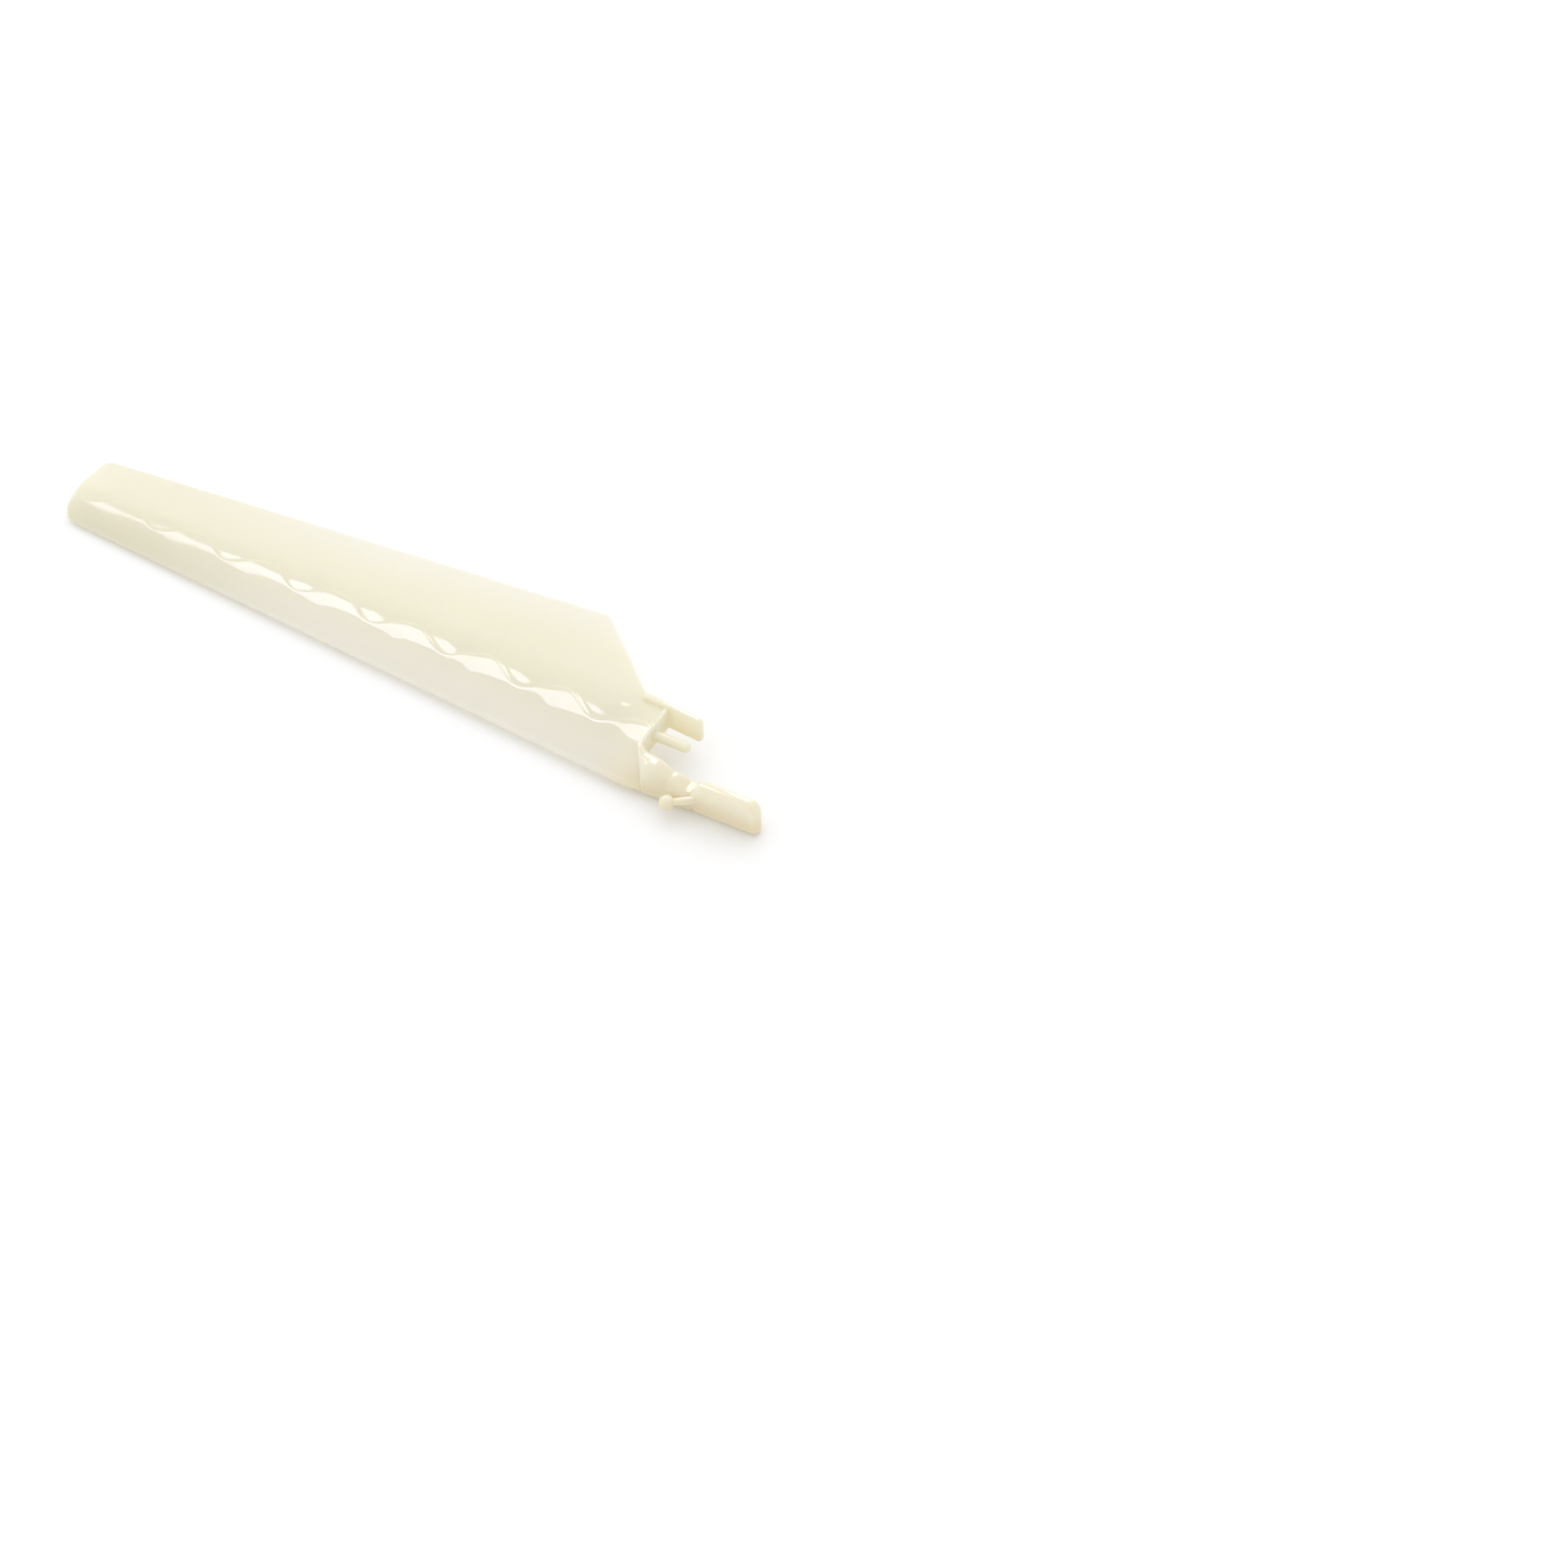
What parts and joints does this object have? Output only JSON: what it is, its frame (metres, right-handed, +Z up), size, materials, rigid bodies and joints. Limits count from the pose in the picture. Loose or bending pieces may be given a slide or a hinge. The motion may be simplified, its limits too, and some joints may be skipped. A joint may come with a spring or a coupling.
{
  "type": "helicopter rotor blade",
  "caption": "Tapered plastic rotor blade of a micro helicopter, arched in section with a wavy step on top, and a clip-in root with spindle pin, thin leg, clip bar and link ball.",
  "frame": {"origin": "on the axis of the spindle pin, at the shoulder where the pin leaves the root wall", "axes": "+X along the spindle axis towards the tip, +Y towards the leading edge, +Z up, away from the surface the blade lies on"},
  "size_m": [0.1056, 0.0274, 0.0052],
  "materials": {
    "cream_plastic": "glossy moulded plastic, cream, slightly translucent"
  },
  "bodies": {
    "root": {"rotor_blade": "cream_plastic"}
  },
  "joints": []
}
